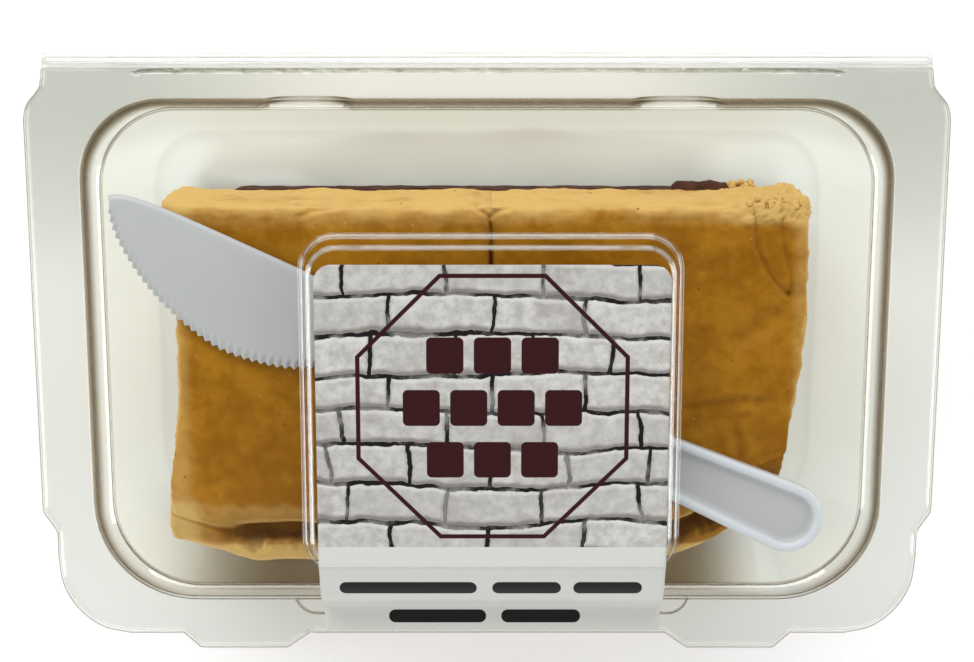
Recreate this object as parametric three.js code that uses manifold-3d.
// Retail pack of two-layer fudge: a hinged clear clamshell that holds two blocks of fudge,
// each a thin chocolate layer under a thick peanut-butter layer, with a plastic knife on top
// and a paper label stuck over the lid. Millimetres, +Z up, standing on the tray's floor.
// X runs along the hinge and +Y points to the hinge side.

import * as THREE from 'three';
import { mergeVertices } from 'three/addons/utils/BufferGeometryUtils.js';
import Module from 'manifold-3d';

// Clamshell
const GAP = 0.3;
const FILM = 0.5;
const HALF_WIDTH = 72;
const HALF_DEPTH = 48.8;
const FLANGE_Z = 27;
const LID_FLANGE_Z = FLANGE_Z + FILM + GAP;
const LID_TOP = 36;
const PANEL_TOP = 38;
const HINGE_RADIUS = 1.4;
const HINGE_HALF_LENGTH = 69;
const HINGE_Y = HALF_DEPTH - HINGE_RADIUS;
const HINGE_Z = FLANGE_Z + FILM + GAP / 2;
const HINGE_RIDGES = 8;
const RIDGE_DEPTH = 0.12;
const HINGE_EAR_Y = 45;
const FRONT_EDGE = -46.2;
const STEP_HALF_WIDTH = 69.8;
const HEEL_RISE = 1.2;
const HEEL_SHARE = 0.07;
const SHOULDER_SHARE = 0.9;
const ROOF_ROUNDING = 0.6;
const ARC_STEPS = 7;

// Rounded rectangles of the walls, from the tray's floor up to the lid's label panel
const FLOOR = { x: 0, half: 55.9, back: 33.4, front: -32.6, backRadius: 9, frontRadius: 11 };
const MOUTH = { x: 0, half: 64.2, back: 41.7, front: -40.9, backRadius: 13, frontRadius: 16.5 };
const ROOF = { x: 0, half: 59.4, back: 40.9, front: -35.6, backRadius: 12, frontRadius: 14 };
const PANEL_FOOT = { x: 0.6, half: 30, back: 21.8, front: -33.4, backRadius: 5.5, frontRadius: 5.5 };
const PANEL_RIM = { x: 0.6, half: 27.8, back: 18.8, front: -31.4, backRadius: 4, frontRadius: 4 };

// Snap lugs on the lid's back wall
const LUG_CENTRES = [-27.6, 29.3];
const LUG_HALF_LENGTH = 7;
const LUG_DEPTH = 1.5;
const LUG_SUNK = 0.4;
const LUG_TOP = 34.2;
const LUG_SIDES = 16;

// Label
const LABEL_X = 0.85;
const LABEL_HALF = 27.6;
const LABEL_BACK = 17.1;
const LABEL_THICKNESS = 0.3;
const LABEL_CORNER = 2.7;
const LABEL_FRONT = FRONT_EDGE + 0.1;

// Fudge
const FUDGE_BASE = FILM + GAP;
const FUDGE_TOP = 29.6;
const LAYER_LINE = 8.6;
const FUDGE_BACK = 24.6;
const SEAM_X = 0.65;
const LEFT_FACE = -49.6;
const RIGHT_FACE = 51;
const BLOCK_MIDDLE = { x: 25.5, y: -2 };
const FOOT_HEIGHT = 1.4;
const CREASE = { z: 25.4, depth: 2.2, width: 1.4 };
const LIP = { z: 20, width: 6 };
const SEAM_GROOVE = { depth: 0.8, width: 1.1 };
const BLOCK_SIDE_STEPS = 15;
const BLOCK_ROUNDING = 0.09;
const BLOCK_RINGS = [12, 16, 20, 23, 25.4, 26.8, 28.2];
const TOP_RINGS = [0.012, 0.05, 0.12, 0.22, 0.34, 0.47, 0.6, 0.74, 0.88];

// Knife
const KNIFE_TIP = { x: -59.6, y: 26.9 };
const KNIFE_TURN = -24 * Math.PI / 180;
const KNIFE_Z = FUDGE_TOP + GAP;
const BLADE_THICKNESS = 1.2;
const HANDLE_HEIGHT = 2.4;
const HANDLE_AXIS = -4.1;
const HANDLE_START = 47;
const HANDLE_NECK = 3.4;
const HANDLE_BELLY = { at: 100, half: 4.8 };
const HANDLE_END = 120.2;
const HANDLE_END_RADIUS = 5.7;
const HANDLE_RIM = 1.6;
const TOOTH_PITCH = 1.35;
const TOOTH_DEPTH = 0.55;
const TOOTHED_SHARE = 0.8;

const wasm = await Module();
wasm.setup();

const mix = (a, b, t) => a + (b - a) * t;
const smooth = (from, to, value) => {
  const t = THREE.MathUtils.clamp((value - from) / (to - from), 0, 1);
  return t * t * (3 - 2 * t);
};
const bump = (value, centre, width) => Math.exp(-(((value - centre) / width) ** 2));

function material(color, roughness, opacity = 1) {
  const transparent = opacity < 1;
  return new THREE.MeshStandardMaterial({ color, roughness, metalness: 0, opacity, transparent });
}

function solid(geometry) {
  const bare = geometry.clone();
  bare.deleteAttribute('normal');
  bare.deleteAttribute('uv');
  const merged = mergeVertices(bare, 1e-4);
  return new wasm.Manifold(new wasm.Mesh({
    numProp: 3,
    vertProperties: new Float32Array(merged.attributes.position.array),
    triVerts: new Uint32Array(merged.index.array),
  }));
}

function geometryOf(manifold) {
  const mesh = manifold.getMesh();
  const geometry = new THREE.BufferGeometry();
  geometry.setAttribute('position', new THREE.BufferAttribute(mesh.vertProperties, 3));
  geometry.setIndex(new THREE.BufferAttribute(mesh.triVerts, 1));
  geometry.computeVertexNormals();
  return geometry;
}

function roundedRectangle({ x, half, back, front, backRadius, frontRadius }, inset = 0) {
  const corners = [
    [x + half - backRadius, back - backRadius, backRadius, 0],
    [x - half + backRadius, back - backRadius, backRadius, 1],
    [x - half + frontRadius, front + frontRadius, frontRadius, 2],
    [x + half - frontRadius, front + frontRadius, frontRadius, 3],
  ];
  const points = [];
  for (const [cx, cy, radius, quarter] of corners) {
    for (let step = 0; step <= ARC_STEPS; step += 1) {
      const angle = (quarter + step / ARC_STEPS) * Math.PI / 2;
      const reach = radius - inset;
      points.push([cx + reach * Math.cos(angle), cy + reach * Math.sin(angle)]);
    }
  }
  return points;
}

// A closed skin over rings of equal point counts, from the lowest ring to the highest
function skin(rings) {
  const count = rings[0].length;
  const positions = [];
  const index = [];
  const centre = (ring) => ring.reduce((sum, p) => sum.map((v, i) => v + p[i] / count), [0, 0, 0]);
  for (const ring of rings) ring.forEach((point) => positions.push(...point));
  const last = (rings.length - 1) * count;
  const low = positions.length / 3;
  positions.push(...centre(rings[0]), ...centre(rings[rings.length - 1]));
  for (let k = 0; k < count; k += 1) {
    const next = (k + 1) % count;
    for (let level = 0; level < rings.length - 1; level += 1) {
      const a = level * count;
      const b = a + count;
      index.push(a + k, a + next, b + next, a + k, b + next, b + k);
    }
    index.push(low, next, k, low + 1, last + k, last + next);
  }
  const geometry = new THREE.BufferGeometry();
  geometry.setAttribute('position', new THREE.Float32BufferAttribute(positions, 3));
  geometry.setIndex(index);
  geometry.computeVertexNormals();
  return geometry;
}

function atHeight(outline, z) {
  return outline.map(([x, y]) => [x, y, z]);
}

function between(low, high, t) {
  const keys = Object.keys(low);
  return Object.fromEntries(keys.map((key) => [key, mix(low[key], high[key], t)]));
}

// Flange outline, seen from above: straight sides, a step near the front corners, rounded
// front corners and two lift tabs. backEdge is where the plate stops at the hinge.
function flangeShape(backEdge) {
  const half = [
    [-29.5, FRONT_EDGE], [-33.5, -HALF_DEPTH], [-47.5, -HALF_DEPTH], [-50, FRONT_EDGE], [-59, FRONT_EDGE],
  ];
  const corner = new THREE.CubicBezierCurve(
    new THREE.Vector2(-59, FRONT_EDGE), new THREE.Vector2(-65.3, FRONT_EDGE),
    new THREE.Vector2(-STEP_HALF_WIDTH, -40.8), new THREE.Vector2(-STEP_HALF_WIDTH, -34),
  );
  corner.getPoints(ARC_STEPS).slice(1).forEach((p) => half.push([p.x, p.y]));
  half.push([-STEP_HALF_WIDTH, -28.8], [-HALF_WIDTH, -25], [-HALF_WIDTH, 38.5]);
  half.push([-71.2, 40.8], [-69.4, 42.9]);
  half.push([-HINGE_HALF_LENGTH, HINGE_EAR_Y], [-HINGE_HALF_LENGTH, backEdge]);
  const mirrored = half.map(([x, y]) => [-x, y]).reverse();
  return new THREE.Shape([...half, ...mirrored].reverse().map(([x, y]) => new THREE.Vector2(x, y)));
}

function plate(shape, z, height) {
  return solid(new THREE.ExtrudeGeometry(shape, { depth: height, bevelEnabled: false }).translate(0, 0, z));
}

function loft(levels) {
  return solid(skin(levels.map(([outline, z]) => atHeight(outline, z))));
}

// The folded film of the hinge is a long ridged bead along the flange's back edge
function hingeBead() {
  const steps = HINGE_RIDGES * 4;
  const shape = new THREE.Shape();
  for (let k = 0; k < steps; k += 1) {
    const angle = k / steps * Math.PI * 2;
    const radius = HINGE_RADIUS - RIDGE_DEPTH * (1 - Math.cos(angle * HINGE_RIDGES)) / 2;
    const point = [radius * Math.cos(angle), radius * Math.sin(angle)];
    if (k === 0) shape.moveTo(...point);
    else shape.lineTo(...point);
  }
  const bead = new THREE.ExtrudeGeometry(shape, { depth: HINGE_HALF_LENGTH * 2, bevelEnabled: false });
  return solid(bead.rotateY(Math.PI / 2).translate(-HINGE_HALF_LENGTH, HINGE_Y, HINGE_Z));
}

function makeTray() {
  const heel = between(FLOOR, MOUTH, HEEL_SHARE);
  const outer = loft([
    [roundedRectangle(FLOOR, HEEL_RISE), 0],
    [roundedRectangle(heel), HEEL_RISE],
    [roundedRectangle(MOUTH), FLANGE_Z + FILM / 2],
  ]);
  const inner = loft([
    [roundedRectangle(FLOOR, HEEL_RISE + FILM), FILM],
    [roundedRectangle(heel, FILM), HEEL_RISE + FILM / 2],
    [roundedRectangle(MOUTH, FILM), FLANGE_Z + FILM + 1],
  ]);
  return plate(flangeShape(HINGE_Y), FLANGE_Z, FILM).add(outer).add(hingeBead()).subtract(inner);
}

function lug(x, inset) {
  const outline = [];
  for (let k = 0; k < LUG_SIDES; k += 1) {
    const angle = k / LUG_SIDES * Math.PI * 2;
    const along = (LUG_HALF_LENGTH - inset) * Math.cos(angle);
    outline.push([x + along, MOUTH.back - LUG_SUNK + (LUG_DEPTH - inset) * Math.sin(angle)]);
  }
  const low = inset > 0 ? LID_FLANGE_Z - 1 : LID_FLANGE_Z;
  return loft([[outline, low], [outline, LUG_TOP - inset]]);
}

function makeLid() {
  const edge = between(MOUTH, ROOF, SHOULDER_SHARE);
  const wallTop = mix(LID_FLANGE_Z, LID_TOP, SHOULDER_SHARE);
  let shell = plate(flangeShape(HINGE_Y - HINGE_RADIUS - GAP), LID_FLANGE_Z, FILM);
  shell = shell.add(loft([
    [roundedRectangle(MOUTH), LID_FLANGE_Z],
    [roundedRectangle(edge), wallTop],
    [roundedRectangle(ROOF, ROOF_ROUNDING), LID_TOP],
  ]));
  shell = shell.add(loft([
    [roundedRectangle(PANEL_FOOT), LID_TOP - FILM],
    [roundedRectangle(between(PANEL_FOOT, PANEL_RIM, 0.3)), mix(LID_TOP, PANEL_TOP, 0.45)],
    [roundedRectangle(between(PANEL_FOOT, PANEL_RIM, 0.65)), mix(LID_TOP, PANEL_TOP, 0.55)],
    [roundedRectangle(PANEL_RIM), PANEL_TOP],
  ]));
  LUG_CENTRES.forEach((x) => { shell = shell.add(lug(x, 0)); });
  shell = shell.subtract(loft([
    [roundedRectangle(MOUTH, FILM), LID_FLANGE_Z - 1],
    [roundedRectangle(MOUTH, FILM), LID_FLANGE_Z],
    [roundedRectangle(edge, FILM), wallTop],
    [roundedRectangle(ROOF, ROOF_ROUNDING + FILM), LID_TOP - FILM],
  ]));
  shell = shell.subtract(loft([
    [roundedRectangle(PANEL_FOOT, FILM), LID_TOP - 2 * FILM],
    [roundedRectangle(PANEL_RIM, FILM), PANEL_TOP - FILM],
  ]));
  LUG_CENTRES.forEach((x) => { shell = shell.subtract(lug(x, FILM)); });
  return shell;
}

// The label's side view: along the panel, down its front and the lid's front wall, and out
// over the flange. Each point is pushed out by the gap, and again by the paper's thickness.
function labelPath(offset) {
  const path = [
    [LABEL_BACK, PANEL_TOP], [PANEL_RIM.front, PANEL_TOP], [PANEL_FOOT.front, LID_TOP],
    [ROOF.front, LID_TOP], [MOUTH.front, LID_FLANGE_Z + FILM], [LABEL_FRONT, LID_FLANGE_Z + FILM],
  ].map(([y, z]) => new THREE.Vector2(y, z));
  return path.map((point, i) => {
    const before = point.clone().sub(path[Math.max(i - 1, 0)]).normalize();
    const after = path[Math.min(i + 1, path.length - 1)].clone().sub(point).normalize();
    const along = before.add(after).normalize();
    const first = i === 0 ? after : path[i].clone().sub(path[i - 1]).normalize();
    const miter = offset / Math.max(0.5, along.dot(first));
    return new THREE.Vector2(point.x + along.y * miter, point.y - along.x * miter);
  });
}

function makeLabel() {
  const side = new THREE.Shape([...labelPath(GAP), ...labelPath(GAP + LABEL_THICKNESS).reverse()]);
  const strip = new THREE.ExtrudeGeometry(side, { depth: LABEL_HALF * 2, bevelEnabled: false });
  const [left, right] = [LABEL_X - LABEL_HALF, LABEL_X + LABEL_HALF];
  strip.applyMatrix4(new THREE.Matrix4().set(0, 0, 1, left, 1, 0, 0, 0, 0, 1, 0, 0, 0, 0, 0, 1));
  const outline = new THREE.Shape();
  outline.moveTo(left - 1, -HALF_DEPTH).lineTo(right + 1, -HALF_DEPTH);
  outline.lineTo(right + 1, 0).lineTo(right, 0);
  outline.absarc(right - LABEL_CORNER, LABEL_BACK - LABEL_CORNER, LABEL_CORNER, 0, Math.PI / 2);
  outline.absarc(left + LABEL_CORNER, LABEL_BACK - LABEL_CORNER, LABEL_CORNER, Math.PI / 2, Math.PI);
  outline.lineTo(left, 0).lineTo(left - 1, 0);
  const cutter = { depth: PANEL_TOP, bevelEnabled: false, curveSegments: 6 };
  const prism = new THREE.ExtrudeGeometry(outline, cutter).translate(0, 0, FLANGE_Z - 1);
  return solid(strip).intersect(solid(prism));
}

// How far the front face stands out at a place and height: the upper slab's edge is set back,
// a smeared lip swells below its crease, and the foot tucks in again. The lip is hollowed
// under the slab along most of the front, and both outer corners are rounded away.
function frontFace(x, z) {
  const stops = [[0, -31], [8, -33.4], [15, -35.4], [20.5, -36.1], [23.5, -34.8], [25.4, -32],
    [26.8, -28.6], [28.2, -25.6], [FUDGE_TOP, -24.4]];
  const at = THREE.MathUtils.clamp(stops.findIndex(([height]) => z <= height), 1, stops.length - 1);
  const [[lowZ, lowY], [highZ, highY]] = [stops[at - 1], stops[at]];
  const hollow = CREASE.depth * bump(z, CREASE.z, CREASE.width) * smooth(-45, -36, x);
  const corner = x < 0 ? 3.2 * smooth(-39, -52, x) : 9 * smooth(28, 54, x);
  return mix(lowY, highY, (z - lowZ) / (highZ - lowZ)) + hollow + corner;
}

// Outer limit of the pair of blocks on the left or right at a place and height
function sideFace(side, y, z) {
  const lip = bump(z, LIP.z, LIP.width) * smooth(-14, -28, y);
  if (side < 0) return LEFT_FACE - smooth(8, 24, y) - 1.8 * smooth(-2, -26, y) - 1.2 * lip;
  return RIGHT_FACE - 3.4 * smooth(8, -24, y) - 0.8 * lip;
}

// Relief of the top: slumped edges, shallow swells, and the folds of the right-hand block
function topHeight(x, y) {
  const swell = 0.22 * Math.sin(x * 0.16 + 1.3) * Math.cos(y * 0.19 - 0.4);
  const fold = (ax, ay, bx, by, width) => {
    const length = (bx - ax) ** 2 + (by - ay) ** 2;
    const t = THREE.MathUtils.clamp(((x - ax) * (bx - ax) + (y - ay) * (by - ay)) / length, 0, 1);
    return bump(Math.hypot(x - mix(ax, bx, t), y - mix(ay, by, t)), 0, width);
  };
  const creases = 0.9 * fold(42.4, 23, 44.5, 14.2, 2) + 0.9 * fold(44.5, 14.2, 48.2, 10.4, 2)
    + 1.1 * fold(48.4, 11, 40.4, 3.2, 2.4) + 0.5 * fold(46.6, 24, 48, 12, 1.6)
    + 0.6 * fold(31.4, -8.6, 44.8, -6.8, 2.2) + 0.6 * fold(43.1, -8.4, 40.6, -15.5, 2);
  const seam = SEAM_GROOVE.depth * bump(x, SEAM_X, SEAM_GROOVE.width) * (1 - 0.7 * bump(y, 22.5, 2));
  return FUDGE_TOP - 0.25 + swell - creases - seam;
}

// Wavy line between the layers; both follow it, so they lie half a gap to each side of it
function layerLine(x, y) {
  return LAYER_LINE + 0.55 * Math.sin(x * 0.21 + 0.5) + 0.3 * Math.sin(x * 0.57 + y * 0.2);
}

// Place on a block's outline as two shares from -1 to 1, anticlockwise from its right side.
// Samples crowd towards the corners, which are rounded.
function outlineShares(k) {
  const turn = Math.floor(k / BLOCK_SIDE_STEPS);
  const along = Math.sin(((k % BLOCK_SIDE_STEPS + 0.5) / BLOCK_SIDE_STEPS - 0.5) * Math.PI);
  const core = 1 - BLOCK_ROUNDING;
  const kept = THREE.MathUtils.clamp(along, -core, core);
  const bend = Math.hypot(BLOCK_ROUNDING, along - kept);
  const out = core + BLOCK_ROUNDING ** 2 / bend;
  const beside = kept + (along - kept) * BLOCK_ROUNDING / bend;
  return [[out, beside], [-beside, out], [-out, -beside], [beside, -out]][turn];
}

function blockPoint(side, k, z) {
  const [across, along] = outlineShares(k);
  const inner = SEAM_X + side * GAP;
  const back = FUDGE_BACK - 0.5 * bump(z, 4, 5);
  const guess = mix(inner, side * 50, (side * across + 1) / 2);
  const y = mix(frontFace(guess, z), back, (along + 1) / 2);
  return [mix(inner, sideFace(side, y, z), (side * across + 1) / 2), y];
}

function blockRing(side, heightOf, shrink = 0) {
  const ring = [];
  for (let k = 0; k < BLOCK_SIDE_STEPS * 4; k += 1) {
    const z = typeof heightOf === 'number' ? heightOf : heightOf(...blockPoint(side, k, LAYER_LINE));
    const [x, y] = blockPoint(side, k, z);
    ring.push([mix(x, side * BLOCK_MIDDLE.x, shrink), mix(y, BLOCK_MIDDLE.y, shrink), z]);
  }
  return ring;
}

function makeChocolate(side) {
  return skin([
    blockRing(side, FUDGE_BASE, 0.03),
    blockRing(side, FUDGE_BASE + FOOT_HEIGHT),
    blockRing(side, (LAYER_LINE + FUDGE_BASE) / 2),
    blockRing(side, (x, y) => layerLine(x, y) - GAP / 2),
  ]);
}

function makePeanutButter(side) {
  const rings = [blockRing(side, (x, y) => layerLine(x, y) + GAP / 2)];
  BLOCK_RINGS.forEach((z) => rings.push(blockRing(side, z)));
  TOP_RINGS.forEach((shrink, i) => {
    const slump = i === 0 ? 0.45 : 0;
    rings.push(blockRing(side, FUDGE_TOP, shrink).map(([x, y]) => [x, y, topHeight(x, y) - slump]));
  });
  return skin(rings);
}

// Knife, drawn along its length from the tip: a straight spine, a bowed toothed edge
function bladeShape() {
  const spline = (points) => new THREE.SplineCurve(points.map(([u, n]) => new THREE.Vector2(u, n)));
  const spine = spline([[0.4, 0], [3.1, 1.1], [9.7, 1.6], [24, 1.5], [36, 1.1], [52, -0.8]]);
  const edge = spline([[0.4, 0], [2.7, -4], [7.1, -8.1], [14.3, -12.4], [22.9, -15.2], [29, -15.6],
    [36.9, -14.1], [44, -10.6], [52, -7.4]]);
  const teeth = Math.round(edge.getLength() * TOOTHED_SHARE / TOOTH_PITCH);
  const points = spine.getPoints(14).reverse();
  for (let k = 1; k < teeth * 2; k += 1) {
    const t = k / (teeth * 2) * TOOTHED_SHARE;
    const out = edge.getTangentAt(t);
    const reach = k % 2 ? TOOTH_DEPTH / 2 : -TOOTH_DEPTH / 2;
    const at = edge.getPointAt(t);
    points.push(new THREE.Vector2(at.x + out.y * reach, at.y - out.x * reach));
  }
  [0.85, 0.9, 0.95, 1].forEach((t) => points.push(edge.getPointAt(t)));
  return new THREE.Shape(points.reverse());
}

function handleShape(inset) {
  const shape = new THREE.Shape();
  const end = HANDLE_END_RADIUS - inset;
  const neck = HANDLE_NECK - inset;
  const belly = HANDLE_BELLY.half - inset;
  const start = HANDLE_START + inset;
  shape.moveTo(start, HANDLE_AXIS - neck);
  shape.lineTo(HANDLE_BELLY.at, HANDLE_AXIS - belly);
  shape.lineTo(HANDLE_END - 2, HANDLE_AXIS - end);
  shape.absarc(HANDLE_END, HANDLE_AXIS, end, -Math.PI / 2, Math.PI / 2);
  shape.lineTo(HANDLE_END - 2, HANDLE_AXIS + end);
  shape.lineTo(HANDLE_BELLY.at, HANDLE_AXIS + belly);
  shape.lineTo(start, HANDLE_AXIS + neck);
  return shape;
}

function makeKnife() {
  const raise = (shape, z, depth) => solid(
    new THREE.ExtrudeGeometry(shape, { depth, bevelEnabled: false, curveSegments: 10 }).translate(0, 0, z),
  );
  return raise(bladeShape(), 0, BLADE_THICKNESS)
    .add(raise(handleShape(0), 0, HANDLE_HEIGHT))
    .subtract(raise(handleShape(HANDLE_RIM), BLADE_THICKNESS, HANDLE_HEIGHT));
}

const clearPlastic = material(0xe4ebe7, 0.08, 0.35);
const pack = new THREE.Group();

function addPiece(parent, name, geometry, finish) {
  const mesh = new THREE.Mesh(geometry, finish);
  mesh.name = name;
  parent.add(mesh);
  return mesh;
}

addPiece(pack, 'tray', geometryOf(makeTray()), clearPlastic.clone());
addPiece(pack, 'lid', geometryOf(makeLid()), clearPlastic.clone());
addPiece(pack, 'label', geometryOf(makeLabel()), material(0xd9dcd6, 0.55));

for (const [side, word] of [[-1, 'left'], [1, 'right']]) {
  addPiece(pack, `chocolate_layer_${word}`, makeChocolate(side), material(0x3a1a10, 0.5));
  addPiece(pack, `peanut_butter_layer_${word}`, makePeanutButter(side), material(0xb07a35, 0.6));
}

const knifePlace = new THREE.Group();
knifePlace.position.set(KNIFE_TIP.x, KNIFE_TIP.y, KNIFE_Z);
knifePlace.rotation.z = KNIFE_TURN;
pack.add(knifePlace);
addPiece(knifePlace, 'knife', geometryOf(makeKnife()), material(0xdfe4ee, 0.35));

export default pack;
